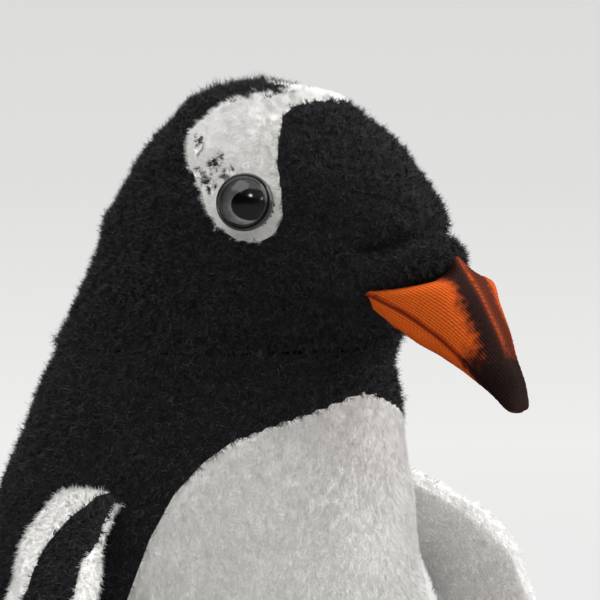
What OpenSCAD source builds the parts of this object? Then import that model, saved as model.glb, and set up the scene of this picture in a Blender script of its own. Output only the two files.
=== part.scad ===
// Plush penguin: sewn cloth panels over stuffing, with two jointed-by-seam flippers,
// a neck that nods, a head that turns, two feet and a tail. The toy stands on z = 0 and faces -Y.

/* [Whole toy] */
// Height from the floor to the crown
toy_height = 300; // [240:10:360]
// Thickness of the plush cloth with its backing
cloth = 1.5; // [1.2:0.1:1.8]
// Thickness of the knitted beak cloth
knit = 0.8; // [0.6:0.1:1]

/* [Eyes] */
// Diameter of the eye dome
eye_d = 12; // [10:0.5:12]
// Diameter of the shank behind the eye
shank_d = 4; // [3:0.5:5]
// Diameter of the washer that locks the shank
washer_d = 12; // [10:0.5:12]

/* [Neck] */
// Level where the torso ends and the neck turns
torso_top = 233; // [232:0.5:234]
// Height of the soft neck disc at its rim
neck_rim = 3.6; // [3:0.2:4]
// Radius of the roll that the head nods on
nod_roll_r = 5.9; // [5:0.1:6]

/* [Flippers] */
// Thickness of a flipper at its thickest
flipper_t = 8; // [6:0.5:9]

/* [Feet and tail] */
// Thickness of a foot at its instep
foot_t = 15; // [12:1:16]
// Thickness of the tail at its root
tail_t = 10; // [8:1:12]

/* [Hidden] */
drawn_height = 300;
unit = toy_height / drawn_height;
fit_gap = 0.3;
seat = 0.05;
filling_gap = 1.4;
black = "#17171a";
white = "#d9d6d0";
filling = "#efe9dc";
orange = "#c4501c";
soot = "#2c1a12";
thread = "#3a3a3c";

// Levels of the neck, from the torso up to the head: the neck rolls on the torso's flat top,
// and the head turns on the neck's flat top
nod_axis_y = -5;
nod_axis_z = torso_top + fit_gap + nod_roll_r;
roll_rise = 2.6;
neck_bottom = nod_axis_z + roll_rise;
neck_top = neck_bottom + neck_rim;
head_bottom = neck_top + 3*fit_gap;

// Horizontal sections of the torso and head:
// height, centre y, half width, depth to the front, depth to the back, squeeze of the front
SECTIONS = [[1.5, 0, 44, 44, 44.5, 0], [12, 1, 52.5, 51.5, 50.5, 0], [30, 2, 58, 57, 54, 0],
            [58, 2.5, 62, 61, 56, 0], [92, 3, 63, 62, 56, 0], [130, 3, 61, 60, 54, 0],
            [165, 3, 56, 54.5, 50.5, 0], [190, 2.5, 51, 49, 46.5, 0], [211, 0, 46, 44.5, 43.5, 0],
            [224, -2, 41.5, 41, 41.5, 0], [236, -4, 37.5, 38, 39, 0],
            [245, -6.5, 34.6, 38, 37.6, 0.05], [253, -10.5, 33, 45, 37.4, 0.25],
            [261, -15, 31.4, 49.5, 38.6, 0.42], [268, -17, 30.8, 45, 38, 0.3],
            [276, -18.6, 30, 36.5, 34.8, 0.12], [284.5, -18.6, 26.8, 28, 29, 0.05],
            [292, -17.4, 19.6, 20, 21.4, 0], [297.4, -15.8, 11.5, 12, 12.6, 0],
            [300, -14.8, 0.2, 0.2, 0.2, 0]];
last = len(SECTIONS) - 1;

// Half angle of the white belly panel against height, 0 degrees being straight ahead
BELLY = [[1.5, 50], [20, 62], [60, 74], [130, 75], [190, 72], [206, 67.5], [215, 63],
         [221.4, 56.5], [225.7, 48.5], [229.6, 32], [233, 10], [234.2, 4]];
// Lower and upper edge of the white bonnet against the angle from straight ahead
BONNET_LOW = [[0, 295.3], [24, 295], [37, 293.9], [47.5, 292.3], [53.5, 288], [57, 282.8],
              [58.5, 277.7], [61, 272.2], [65, 268.5], [69.5, 266.8], [75, 267.4], [81, 270],
              [85, 272.6], [89.5, 277.3], [95, 280.6], [101, 283], [107, 287.6]];
BONNET_HIGH = [[0, 297.9], [9, 298], [34, 296.8], [49, 297], [70, 297.3], [96, 296], [103, 294],
               [107, 291.5], [180, 289]];
bonnet_end = 107;
// Edges of the opening that the beak is sewn into, and the crease above the muzzle
BEAK_TOP = [[0, 262.6], [4, 262], [9, 260.2], [14.5, 259], [26, 257.6], [33, 257]];
BEAK_BOTTOM = [[0, 248], [11, 249.8], [24, 252.7], [33, 256.4]];
CREASE = [[0, 270.3], [23, 268], [40, 265]];
beak_half_angle = 33;
muzzle_half_angle = 40;
muzzle_side_low = 257;
forehead_half_angle = 52;
forehead_side_low = 265.6;

// Beak: ridge of the upper half, line of the mouth and keel of the lower half, as [y, z],
// and the half width, from the face to the tip
RIDGE = [[-67.2, 258.8], [-70.9, 255], [-73.7, 250], [-76.7, 243.8], [-79.5, 238], [-80.4, 233.6]];
MOUTH = [[-57.4, 253.2], [-62.8, 249.6], [-66.8, 246], [-71, 241.6], [-75.4, 236.8], [-78.6, 232.8]];
KEEL = [[-57.6, 244.8], [-63.8, 241.8], [-68.8, 239], [-72.8, 236.4], [-76.4, 233.8], [-78.6, 232]];
HALF_WIDTH = [12.2, 10, 8, 6.2, 4.6, 3];

// Flipper on the left side: front edge, rear edge as [x, y, z], and share of full thickness
FLIPPER = [[[47.2, -11.5, 213], [49, 3, 212.8], 0.65], [[57, -16.5, 210.5], [55, 4, 209], 0.8],
           [[68.2, -22.5, 203.5], [62, 2, 204.4], 0.95], [[77, -27, 195.5], [69.5, -1.5, 199], 1],
           [[82.5, -28.5, 186], [77, -3.5, 190.5], 1], [[89, -31, 172], [85, -5, 172], 0.95],
           [[94, -31.5, 154], [90.5, -8, 153], 0.85], [[97, -29, 138], [94.5, -12, 137], 0.7],
           [[99, -24.5, 127], [97.6, -15.5, 126], 0.55],
           [[99.4, -21.6, 122.6], [98.8, -18.6, 122.2], 0.4]];
// Edge between the white band and the black of a flipper, from 0 at the rear edge to 1
BAND = [[0, 0.7], [0.1, 0.72], [0.17, 0.5], [0.23, 0.37], [0.33, 0.24], [0.5, 0.22], [1, 0.3]];
hinge_a = [47.2, -11.5, 213];
hinge_b = [49, 3, 212.8];

// Foot: half width, height and y of each section from the ankle to the toes
foot_x = 25;
FOOT = [[9, 0.72, -51.5], [12.5, 0.95, -56], [16, 1, -63], [19.5, 0.86, -72], [21.5, 0.62, -81],
        [20, 0.42, -89], [13, 0.25, -95]];
foot_bottom = 0.2;

// Tail: half width, thickness share, y and z of the middle
TAIL = [[17, 1, 59.4, 21.5], [16.5, 0.92, 64.5, 19], [14.5, 0.75, 72, 15.4], [11, 0.55, 80, 11.4],
        [6, 0.36, 87, 8.2], [2.5, 0.3, 90, 7]];

eye_height = 275.2;
eye_angle = 71.5;
eye_dome_h = 4.2;
shank_l = 10;
washer_t = 2;

// ---- Curves and surfaces ----

function mid_curve(a, b, c, d, f) =
  0.5 * (2*b + (c - a)*f + (2*a - 5*b + 4*c - d)*f*f + (3*b - a - 3*c + d)*f*f*f);

// A smooth curve through a list of points, with h counting along the list
function along(list, h) =
  let (n = len(list) - 1, x = min(max(h, 0), n), i = min(floor(x), n - 1),
       before = i > 0 ? list[i - 1] : 2*list[0] - list[1],
       after = i < n - 1 ? list[i + 2] : 2*list[n] - list[n - 1])
  mid_curve(before, list[i], list[i + 1], after, x - i);

// Place along SECTIONS where the height is z, found by halving
function station(z, low = 0, high = last, steps = 16) =
  steps == 0 ? (low + high)/2
  : let (m = (low + high)/2)
    along(SECTIONS, m)[0] < z ? station(z, m, high, steps - 1) : station(z, low, m, steps - 1);

// A point on the outside of the torso and head; angle 0 is the front, 90 the left side
function skin(h, angle) =
  let (s = along(SECTIONS, h), c = cos(angle))
  [s[2]*sin(angle)*(1 - s[5]*pow(max(c, 0), 2)), s[1] - (c > 0 ? s[3] : s[4])*c, s[0]];

function unit_vector(v) = v/norm(v);

function skin_normal(h, angle) =
  let (e = 0.02)
  unit_vector(cross(skin(h, angle + 1) - skin(h, angle - 1), skin(h + e, angle) - skin(h - e, angle)));

function under_skin(h, angle, depth) =
  depth == 0 ? skin(h, angle) : skin(h, angle) - depth*skin_normal(min(h, last - 0.1), angle);

function steps(from, to, count) = [for (i = [0:count]) from + (to - from)*i/count];

// Rows of points between a lower and an upper edge, both functions of the angle
function panel_grid(angles, low, high, rows, depth) =
  [for (r = [0:rows])
    [for (a = angles) let (h0 = station(low(a)), h1 = station(high(a)))
      under_skin(h0 + (h1 - h0)*r/rows, a, depth)]];

// Rows of points where the side edges are functions of the height
function belt_grid(heights, from, to, columns, depth) =
  [for (z = heights) let (h = station(z))
    [for (c = [0:columns]) under_skin(h, from(z) + (to(z) - from(z))*c/columns, depth)]];

// ---- Solids ----

// Cloth between an outer and an inner grid of points. Columns run to the left of the row.
module sheet_solid(outer, inner) {
  rows = len(outer);
  cols = len(outer[0]);
  n = rows*cols;
  function o(r, c) = r*cols + c;
  function i(r, c) = n + r*cols + c;
  function quad(a, b, c, d) = [[a, c, b], [a, d, c]];
  top_and_bottom = [for (r = [0:rows - 2], c = [0:cols - 2]) each concat(
    quad(o(r, c), o(r, c + 1), o(r + 1, c + 1), o(r + 1, c)),
    quad(i(r, c), i(r + 1, c), i(r + 1, c + 1), i(r, c + 1)))];
  row_walls = [for (c = [0:cols - 2]) each concat(
    quad(i(0, c), i(0, c + 1), o(0, c + 1), o(0, c)),
    quad(o(rows - 1, c), o(rows - 1, c + 1), i(rows - 1, c + 1), i(rows - 1, c)))];
  side_walls = [for (r = [0:rows - 2]) each concat(
    quad(i(r, 0), o(r, 0), o(r + 1, 0), i(r + 1, 0)),
    quad(o(r, cols - 1), i(r, cols - 1), i(r + 1, cols - 1), o(r + 1, cols - 1)))];
  polyhedron([for (g = [outer, inner]) for (row = g) each row],
             concat(top_and_bottom, row_walls, side_walls));
}

// A solid through closed rings of points, the first one lowest, each ring to the left
module ring_solid(rings) {
  rows = len(rings);
  cols = len(rings[0]);
  function p(r, c) = r*cols + c % cols;
  sides = [for (r = [0:rows - 2], c = [0:cols - 1]) each
    [[p(r, c), p(r + 1, c + 1), p(r, c + 1)], [p(r, c), p(r + 1, c), p(r + 1, c + 1)]]];
  ends = [[for (c = [0:cols - 1]) p(0, c)], [for (c = [cols - 1:-1:0]) p(rows - 1, c)]];
  polyhedron([for (ring = rings) each ring], concat(sides, ends));
}

// A domed cap of cloth: closed rings outside and inside, each closed by its own top point
module cap_solid(outer, inner, outer_top, inner_top) {
  rows = len(outer);
  cols = len(outer[0]);
  n = rows*cols;
  function o(r, c) = r*cols + c % cols;
  function i(r, c) = n + r*cols + c % cols;
  faces = [for (c = [0:cols - 1]) each concat(
    [for (r = [0:rows - 2]) each [
      [o(r, c), o(r + 1, c + 1), o(r, c + 1)], [o(r, c), o(r + 1, c), o(r + 1, c + 1)],
      [i(r, c), i(r, c + 1), i(r + 1, c + 1)], [i(r, c), i(r + 1, c + 1), i(r + 1, c)]]],
    [[o(rows - 1, c), 2*n, o(rows - 1, c + 1)], [i(rows - 1, c), i(rows - 1, c + 1), 2*n + 1],
     [o(0, c), o(0, c + 1), i(0, c + 1)], [o(0, c), i(0, c + 1), i(0, c)]])];
  polyhedron(concat([for (g = [outer, inner]) for (row = g) each row], [outer_top, inner_top]), faces);
}

module skin_panel(angles, low, high, rows) {
  sheet_solid(panel_grid(angles, low, high, rows, 0), panel_grid(angles, low, high, rows, cloth));
}

// ---- Torso ----

torso_levels = [2, 8, 18, 32, 50, 72, 95, 120, 145, 168, 188, 200, 209, 216, 222, 226.5, 230, torso_top];
belly_edge = function (z) lookup(z, BELLY);

module belly_panel() {
  from = function (z) -belly_edge(z);
  color(white)
    sheet_solid(belt_grid(torso_levels, from, belly_edge, 12, 0),
                belt_grid(torso_levels, from, belly_edge, 12, cloth));
}

module left_side_panel() {
  to = function (z) 180;
  color(black)
    sheet_solid(belt_grid(torso_levels, belly_edge, to, 11, 0),
                belt_grid(torso_levels, belly_edge, to, 11, cloth));
}

module right_side_panel() {
  mirror([1, 0, 0]) left_side_panel();
}

module base_panel() {
  flat_h = 2;
  edge = [for (a = [0:10:350]) skin(station(flat_h), a)];
  color(black)
    ring_solid([for (z = [0, flat_h - seat]) [for (p = edge) [p[0], p[1], z]]]);
}

function filling_rings(levels, depth) =
  [for (z = levels) [for (a = [0:15:345])
    let (p = under_skin(station(z), a, depth)) [p[0], p[1], z]]];

pouch_top = 42;

module pellet_pouch() {
  color(thread) ring_solid(filling_rings([2.1, 8, 18, 30, pouch_top], cloth + filling_gap));
}

module body_stuffing() {
  color(filling)
    ring_solid(filling_rings([pouch_top + seat, 60, 80, 105, 135, 165, 190, 212, 225, torso_top],
                             cloth + filling_gap));
}

// Hand stitches that close the back seam after filling
module closing_seam() {
  stitch_r = 0.5;
  color(thread)
    for (z = [70:6:112])
      translate(skin(station(z), 180) + [0, stitch_r, 0])
        rotate([0, 65, 0]) cylinder(h = 5, r = stitch_r, center = true, $fn = 16);
}

// ---- Shoulders ----

hinge_dir = unit_vector(hinge_b - hinge_a);

// Tape sewn into the side seam, reaching out to the flipper's root
module left_shoulder_tab() {
  tape_t = 0.8;
  stop = 0.5;
  inset = 2;
  a = hinge_a + inset*hinge_dir;
  b = hinge_b - inset*hinge_dir;
  function on_side(p) =
    let (h = station(p[2]), s = along(SECTIONS, h))
    [s[2]*sqrt(1 - pow((p[1] - s[1])/(p[1] < s[1] ? s[3] : s[4]), 2)) + seat, p[1], p[2]];
  outer_edge = [for (f = [0:0.25:1]) let (p = a + (b - a)*f) p - [stop, 0, 0]];
  inner_edge = [for (f = [0:0.25:1]) let (p = a + (b - a)*f) on_side(p)];
  lift = [0, 0, tape_t/2];
  color(black)
    sheet_solid([[for (p = inner_edge) p + lift], [for (p = outer_edge) p + lift]],
                [[for (p = inner_edge) p - lift], [for (p = outer_edge) p - lift]]);
}

module right_shoulder_tab() {
  mirror([1, 0, 0]) left_shoulder_tab();
}

// ---- Neck ----

module neck_stuffing() {
  roll_half = 24;
  sunk = 0.5;
  color(filling)
    union() {
      ring_solid(filling_rings([neck_bottom, neck_top], cloth + fit_gap));
      intersection() {
        translate([0, nod_axis_y, nod_axis_z]) rotate([0, 90, 0])
          cylinder(h = 2*roll_half, r = nod_roll_r, center = true, $fn = 64);
        translate([-roll_half, nod_axis_y - nod_roll_r, nod_axis_z - nod_roll_r])
          cube([2*roll_half, 2*nod_roll_r, nod_roll_r + roll_rise + sunk]);
      }
    }
}

module neck_cloth() {
  angles = [0:10:350];
  over = [0, 0, 1];
  function ring(z, depth, shift) = [for (a = angles)
    let (p = under_skin(station(z), a, depth)) [p[0], p[1], z] + shift];
  color(black)
    difference() {
      ring_solid([ring(neck_bottom, 0, [0, 0, 0]), ring(neck_top, 0, [0, 0, 0])]);
      ring_solid([ring(neck_bottom, cloth, -over), ring(neck_bottom, cloth, [0, 0, 0]),
                  ring(neck_top, cloth, [0, 0, 0]), ring(neck_top, cloth, over)]);
    }
}

// ---- Head ----

bonnet_low = function (a) lookup(abs(a), BONNET_LOW);
bonnet_high = function (a) lookup(abs(a), BONNET_HIGH);
bonnet_side = [53.5, 55.5, 57, 58.5, 61, 65, 69.5, 75, 81, 85, 89.5, 95, 101, bonnet_end];
beak_top_edge = function (a) lookup(abs(a), BEAK_TOP);
crease = function (a) lookup(abs(a), CREASE);
bottom_edge = function (a) head_bottom;

// Upper edge of the cheek, from the beak opening round to the back of the head
cheek_top = function (a)
  a < beak_half_angle ? lookup(a, BEAK_BOTTOM)
  : a < bonnet_end ? bonnet_low(a)
  : bonnet_high(a);

module left_head_panel() {
  notch = 0.1;
  under_muzzle = steps(beak_half_angle, muzzle_half_angle - notch, 2);
  under_forehead = steps(muzzle_half_angle, forehead_half_angle - notch, 3);
  behind = concat([forehead_half_angle], [for (a = bonnet_side) if (a < bonnet_end) a],
                  [bonnet_end - notch, bonnet_end, 120, 135, 150, 165, 180]);
  top = function (a) (a < muzzle_half_angle ? muzzle_side_low
                   : a < forehead_half_angle ? forehead_side_low : cheek_top(a)) - notch;
  color(black) skin_panel(concat(under_muzzle, under_forehead, behind), bottom_edge, top, 9);
}

module right_head_panel() {
  mirror([1, 0, 0]) left_head_panel();
}

module chin_panel() {
  top = function (a) lookup(abs(a), BEAK_BOTTOM);
  color(black) skin_panel(steps(-beak_half_angle, beak_half_angle, 8), bottom_edge, top, 2);
}

module muzzle_panel() {
  low = function (a) abs(a) < beak_half_angle ? beak_top_edge(a) : muzzle_side_low;
  angles = [-40, -33, -26, -20, -14.5, -9, -4, 0, 4, 9, 14.5, 20, 26, 33, 40];
  color(black) skin_panel(angles, low, crease, 4);
}

module forehead_panel() {
  low = function (a) abs(a) < muzzle_half_angle ? crease(a) : forehead_side_low;
  angles = [-52, -47.5, -42, -37, -30, -24, -16, -8, 0, 8, 16, 24, 30, 37, 42, 47.5, 52];
  color(black) skin_panel(angles, low, bonnet_low, 7);
}

module shank_hole(r) {
  eye_place() translate([0, 0, -shank_l]) cylinder(h = shank_l + 4, r = r, $fn = 32);
}

module bonnet_panel() {
  side = concat([24, 37, 47.5, forehead_half_angle], bonnet_side);
  angles = concat([for (i = [len(side) - 1:-1:0]) -side[i]], [-12, 0, 12], side);
  color(white)
    difference() {
      skin_panel(angles, bonnet_low, bonnet_high, 5);
      shank_hole(shank_d/2);
      mirror([1, 0, 0]) shank_hole(shank_d/2);
    }
}

module crown_panel() {
  angles = [0:12:348];
  rows = 4;
  top_h = last - 0.35;
  function rings(depth) = [for (r = [0:rows]) [for (a = angles)
    let (h0 = station(bonnet_high(a > 180 ? 360 - a : a)))
    under_skin(h0 + (top_h - h0)*r/rows, a, depth)]];
  peak = [0, SECTIONS[last][1], SECTIONS[last][0]];
  color(black) cap_solid(rings(0), rings(cloth), peak, peak - [0, 0, cloth]);
}

module head_stuffing() {
  levels = [head_bottom, 250, 254, 258, 262, 266, 270, 276, 283, 289, 293];
  color(filling)
    difference() {
      ring_solid(filling_rings(levels, cloth + 2.4*filling_gap));
      for (side = [0, 1]) mirror([side, 0, 0]) {
        shank_hole(shank_d/2 + seat);
        eye_place() translate([0, 0, -washer_level - washer_t - seat])
          cylinder(h = washer_t + 2*seat, r = washer_d/2 + seat, $fn = 48);
      }
    }
}

// ---- Eyes ----

washer_level = 3.6;

module eye_place() {
  h = station(eye_height);
  n = skin_normal(h, eye_angle);
  turn = atan2(n[1], n[0]);
  tilt = acos(n[2]);
  translate(skin(h, eye_angle)) rotate([0, 0, turn]) rotate([0, tilt, 0]) children();
}

// Dome with a flat back and a shank, the size of a common safety eye
module left_eye() {
  dome_r = (pow(eye_d/2, 2) + pow(eye_dome_h, 2))/(2*eye_dome_h);
  rim_t = 0.6;
  color(soot)
    eye_place() {
      translate([0, 0, rim_t + seat]) intersection() {
        translate([0, 0, eye_dome_h - dome_r]) sphere(r = dome_r, $fn = 64);
        cylinder(h = eye_dome_h + 1, r = eye_d/2 + 1, $fn = 64);
      }
      translate([0, 0, seat]) cylinder(h = rim_t, r = eye_d/2, $fn = 64);
      translate([0, 0, -shank_l + 0.5]) cylinder(h = shank_l, r = shank_d/2 - seat, $fn = 32);
    }
}

module right_eye() {
  mirror([1, 0, 0]) left_eye();
}

module left_eye_washer() {
  color(soot)
    eye_place() translate([0, 0, -washer_level - washer_t]) difference() {
      cylinder(h = washer_t, r = washer_d/2, $fn = 48);
      translate([0, 0, -1]) cylinder(h = washer_t + 2, r = shank_d/2, $fn = 32);
    }
}

module right_eye_washer() {
  mirror([1, 0, 0]) left_eye_washer();
}

// ---- Beak ----

// A point of the beak: t counts the sections from the face, turn is 0 on the ridge,
// 90 at the left corner of the mouth and 180 on the keel
function opening_point(turn) =
  let (a = beak_half_angle*sin(turn))
  skin(station(lookup(abs(a), cos(turn) > 0 ? BEAK_TOP : BEAK_BOTTOM)), a);

function beak_section_point(i, turn) =
  let (m = MOUTH[i], e = cos(turn) > 0 ? RIDGE[i] : KEEL[i], p = m + (e - m)*abs(cos(turn)))
  [HALF_WIDTH[i]*sin(turn), p[0], p[1]];

function beak_column(turn) =
  concat([opening_point(turn)], [for (i = [0:len(MOUTH) - 1]) beak_section_point(i, turn)]);

function beak_middle(t) =
  let (column_a = along(beak_column(90), t), column_b = along(beak_column(-90), t))
  (column_a + column_b)/2;

function beak_point(t, turn, depth) =
  let (p = along(beak_column(turn), t), q = p - beak_middle(t))
  p - q*min(depth/norm(q), 0.7);

beak_rows = [0, 0.35, 0.7, 1, 1.5, 2, 2.5, 3, 3.5, 4, 4.5, 5, 5.5, 6];

function beak_grid(from, to, columns, depth) =
  [for (t = beak_rows) [for (turn = steps(from, to, columns)) beak_point(t, turn, depth)]];

module beak_half(from, to) {
  sheet_solid(beak_grid(to, from, 12, 0), beak_grid(to, from, 12, knit));
}

module beak_upper() {
  color(soot) beak_half(-90, 90);
}

module beak_lower() {
  color(orange) beak_half(90, 270);
}

module beak_stuffing() {
  rows = [0.1, 0.35, 0.7, 1, 1.5, 2, 3, 4, 5, 5.6];
  color(filling)
    ring_solid([for (t = rows) [for (turn = [360:-15:15]) beak_point(t, turn, knit + fit_gap)]]);
}

// ---- Flippers ----

flipper_last = len(FLIPPER) - 1;
flipper_edges = [for (f = FLIPPER) concat(f[0], f[1], [f[2]])];

// c runs from 0 at the rear edge to 1 at the front edge; side is +1 outside, -1 inside
function flipper_point(s, c, side, depth) =
  let (row = along(flipper_edges, s), next = along(flipper_edges, min(s + 0.1, flipper_last)),
       prev = along(flipper_edges, max(s - 0.1, 0)),
       front = [row[0], row[1], row[2]], rear = [row[3], row[4], row[5]],
       down = unit_vector([next[0] - prev[0], next[1] - prev[1], next[2] - prev[2]]
                        + [next[3] - prev[3], next[4] - prev[4], next[5] - prev[5]]),
       out = unit_vector(cross(front - rear, down)),
       bulge = sqrt(max(0, 1 - pow(2*c - 1, 2))),
       edge_t = 1.2, half_t = edge_t + (flipper_t/2*row[6] - edge_t)*bulge)
  rear + (front - rear)*c + out*side*max(half_t - depth, 0);

flipper_rows = steps(0, flipper_last, 16);

function band_edge(s) = lookup(s/flipper_last, BAND);

function flipper_grid(from, to, columns, side, depth) =
  [for (s = flipper_rows) [for (i = [0:columns])
    flipper_point(s, from(s) + (to(s) - from(s))*i/columns, side, depth)]];

module flipper_cloth(from, to, columns, side) {
  a = flipper_grid(from, to, columns, side, 0);
  b = flipper_grid(from, to, columns, side, cloth);
  sheet_solid(side > 0 ? a : b, side > 0 ? b : a);
}

rear_edge = function (s) 0;
front_edge = function (s) 1;
band_line = function (s) band_edge(s);

module left_flipper_outer() {
  color(black) flipper_cloth(band_line, front_edge, 7, 1);
}

module left_flipper_band() {
  color(white) flipper_cloth(rear_edge, band_line, 4, 1);
}

module left_flipper_lining() {
  color(white) flipper_cloth(rear_edge, front_edge, 8, -1);
}

module left_flipper_pad() {
  low = function (s) 0.12;
  high = function (s) 0.88;
  pad_rows = [for (s = flipper_rows) if (s > 0.2 && s < flipper_last - 0.6) s];
  function grid(side) = [for (s = pad_rows) [for (i = [0:6])
    flipper_point(s, low(s) + (high(s) - low(s))*i/6, side, cloth + 2*seat)]];
  color(filling) sheet_solid(grid(1), grid(-1));
}

module right_flipper_outer() {
  mirror([1, 0, 0]) left_flipper_outer();
}

module right_flipper_band() {
  mirror([1, 0, 0]) left_flipper_band();
}

module right_flipper_lining() {
  mirror([1, 0, 0]) left_flipper_lining();
}

module right_flipper_pad() {
  mirror([1, 0, 0]) left_flipper_pad();
}

// ---- Feet ----

foot_last = len(FOOT) - 1;
sole_top = foot_bottom + cloth;

// A point of the foot's upper surface, v from -1 on the right side to 1 on the left side
function foot_point(s, v, depth) =
  let (f = along(FOOT, s), width = f[0] - depth,
       high = foot_t*f[1] - foot_bottom - cloth - depth)
  [foot_x + width*sin(90*v), f[2], sole_top + max(high, 0.4)*pow(max(cos(90*v), 0), 0.8)];

foot_rows = steps(0, foot_last, 10);

module left_foot_upper() {
  function grid(depth) = [for (s = foot_rows) [for (v = [1:-0.2:-1.01]) foot_point(s, v, depth)]];
  outer = [for (row = grid(0)) [for (p = row) p + [0, 0, seat]]];
  inner = [for (row = grid(cloth)) [for (p = row) p + [0, 0, seat]]];
  color(orange) sheet_solid(outer, inner);
}

module left_foot_sole() {
  right = [for (s = foot_rows) foot_point(s, -1, 0)];
  left = [for (s = foot_rows) foot_point(s, 1, 0)];
  outline = concat([for (p = right) [p[0], p[1]]],
                   [for (i = [len(left) - 1:-1:0]) [left[i][0], left[i][1]]]);
  color(orange)
    translate([0, 0, foot_bottom]) linear_extrude(cloth) polygon(outline);
}

module left_foot_stuffing() {
  rows = [for (s = foot_rows) if (s < foot_last - 0.3) s];
  top = [for (s = rows) [for (v = [1:-0.2:-1.01])
    foot_point(s, v, cloth + 2*fit_gap) + [0, 0, seat]]];
  bottom = [for (row = top) [for (p = row) [p[0], p[1], sole_top + seat - 0.02]]];
  color(filling) sheet_solid([for (row = top) [for (p = row) p + [0, 0, 0.1]]], bottom);
}

module right_foot_upper() {
  mirror([1, 0, 0]) left_foot_upper();
}

module right_foot_sole() {
  mirror([1, 0, 0]) left_foot_sole();
}

module right_foot_stuffing() {
  mirror([1, 0, 0]) left_foot_stuffing();
}

// ---- Tail ----

tail_last = len(TAIL) - 1;
tail_rows = steps(0, tail_last, 6);

function tail_point(s, v, side, depth) =
  let (f = along(TAIL, s), high = max(tail_t/2*f[1]*pow(max(cos(90*v), 0), 0.7) + 0.8 - depth, 0))
  [(f[0])*sin(90*v), f[2], f[3] + side*high];

function tail_grid(side, depth) =
  [for (s = tail_rows) [for (v = [-1:0.25:1.01]) tail_point(s, v, side, depth)]];

module tail_upper() {
  color(black) sheet_solid(tail_grid(1, 0), tail_grid(1, cloth));
}

module tail_lining() {
  color(black) sheet_solid(tail_grid(-1, cloth), tail_grid(-1, 0));
}

module tail_stuffing() {
  rows = [for (s = tail_rows) if (s < tail_last - 0.5) s];
  function grid(side) = [for (s = rows) [for (v = [-0.75:0.25:0.76])
    tail_point(s, v, side, cloth + 2*seat)]];
  color(filling) sheet_solid(grid(1), grid(-1));
}

scale(unit) belly_panel();
scale(unit) right_side_panel();
scale(unit) left_side_panel();
scale(unit) base_panel();
scale(unit) body_stuffing();
scale(unit) pellet_pouch();
scale(unit) closing_seam();
scale(unit) right_shoulder_tab();
scale(unit) left_shoulder_tab();
scale(unit) neck_stuffing();
scale(unit) neck_cloth();
scale(unit) right_head_panel();
scale(unit) left_head_panel();
scale(unit) crown_panel();
scale(unit) bonnet_panel();
scale(unit) forehead_panel();
scale(unit) muzzle_panel();
scale(unit) chin_panel();
scale(unit) head_stuffing();
scale(unit) beak_upper();
scale(unit) beak_lower();
scale(unit) beak_stuffing();
scale(unit) right_eye();
scale(unit) left_eye();
scale(unit) right_eye_washer();
scale(unit) left_eye_washer();
scale(unit) right_flipper_outer();
scale(unit) right_flipper_band();
scale(unit) right_flipper_lining();
scale(unit) right_flipper_pad();
scale(unit) left_flipper_outer();
scale(unit) left_flipper_band();
scale(unit) left_flipper_lining();
scale(unit) left_flipper_pad();
scale(unit) right_foot_upper();
scale(unit) right_foot_sole();
scale(unit) right_foot_stuffing();
scale(unit) left_foot_upper();
scale(unit) left_foot_sole();
scale(unit) left_foot_stuffing();
scale(unit) tail_upper();
scale(unit) tail_lining();
scale(unit) tail_stuffing();
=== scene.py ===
"""Looks of the plush penguin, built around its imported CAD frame.

Lengths in this file are in millimetres on the 300 mm drawing until a mesh is made, when MM turns
them into metres. Soft parts are grids of rings: row 0 is one end, and each ring goes round once.
"""

import math

import bpy
import numpy as np
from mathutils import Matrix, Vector


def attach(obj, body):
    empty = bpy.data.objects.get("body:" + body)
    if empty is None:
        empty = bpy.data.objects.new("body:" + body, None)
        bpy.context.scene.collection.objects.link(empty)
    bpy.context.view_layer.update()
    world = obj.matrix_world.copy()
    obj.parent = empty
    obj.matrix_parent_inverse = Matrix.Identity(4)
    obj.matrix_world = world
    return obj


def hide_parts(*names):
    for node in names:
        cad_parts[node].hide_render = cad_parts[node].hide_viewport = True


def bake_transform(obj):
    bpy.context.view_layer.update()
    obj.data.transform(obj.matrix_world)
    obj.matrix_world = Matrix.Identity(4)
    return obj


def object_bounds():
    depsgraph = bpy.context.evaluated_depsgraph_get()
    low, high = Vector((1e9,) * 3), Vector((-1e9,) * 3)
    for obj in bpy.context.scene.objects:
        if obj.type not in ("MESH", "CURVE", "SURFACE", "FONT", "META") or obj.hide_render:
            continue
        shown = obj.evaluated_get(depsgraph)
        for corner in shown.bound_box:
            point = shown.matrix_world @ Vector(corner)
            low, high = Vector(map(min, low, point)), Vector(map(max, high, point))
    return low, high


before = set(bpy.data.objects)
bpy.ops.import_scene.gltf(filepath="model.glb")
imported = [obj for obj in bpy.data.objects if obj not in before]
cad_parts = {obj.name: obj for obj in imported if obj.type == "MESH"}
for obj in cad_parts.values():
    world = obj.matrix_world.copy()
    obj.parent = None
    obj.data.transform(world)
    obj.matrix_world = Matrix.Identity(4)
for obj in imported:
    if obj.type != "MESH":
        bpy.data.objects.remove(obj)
CAD_BOX = [list(corner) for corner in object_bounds()]
DRAWN_HEIGHT = 300
MM = CAD_BOX[1][2] / DRAWN_HEIGHT
X, Y, Z = np.eye(3)

# ---- shape, as in the CAD model

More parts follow.
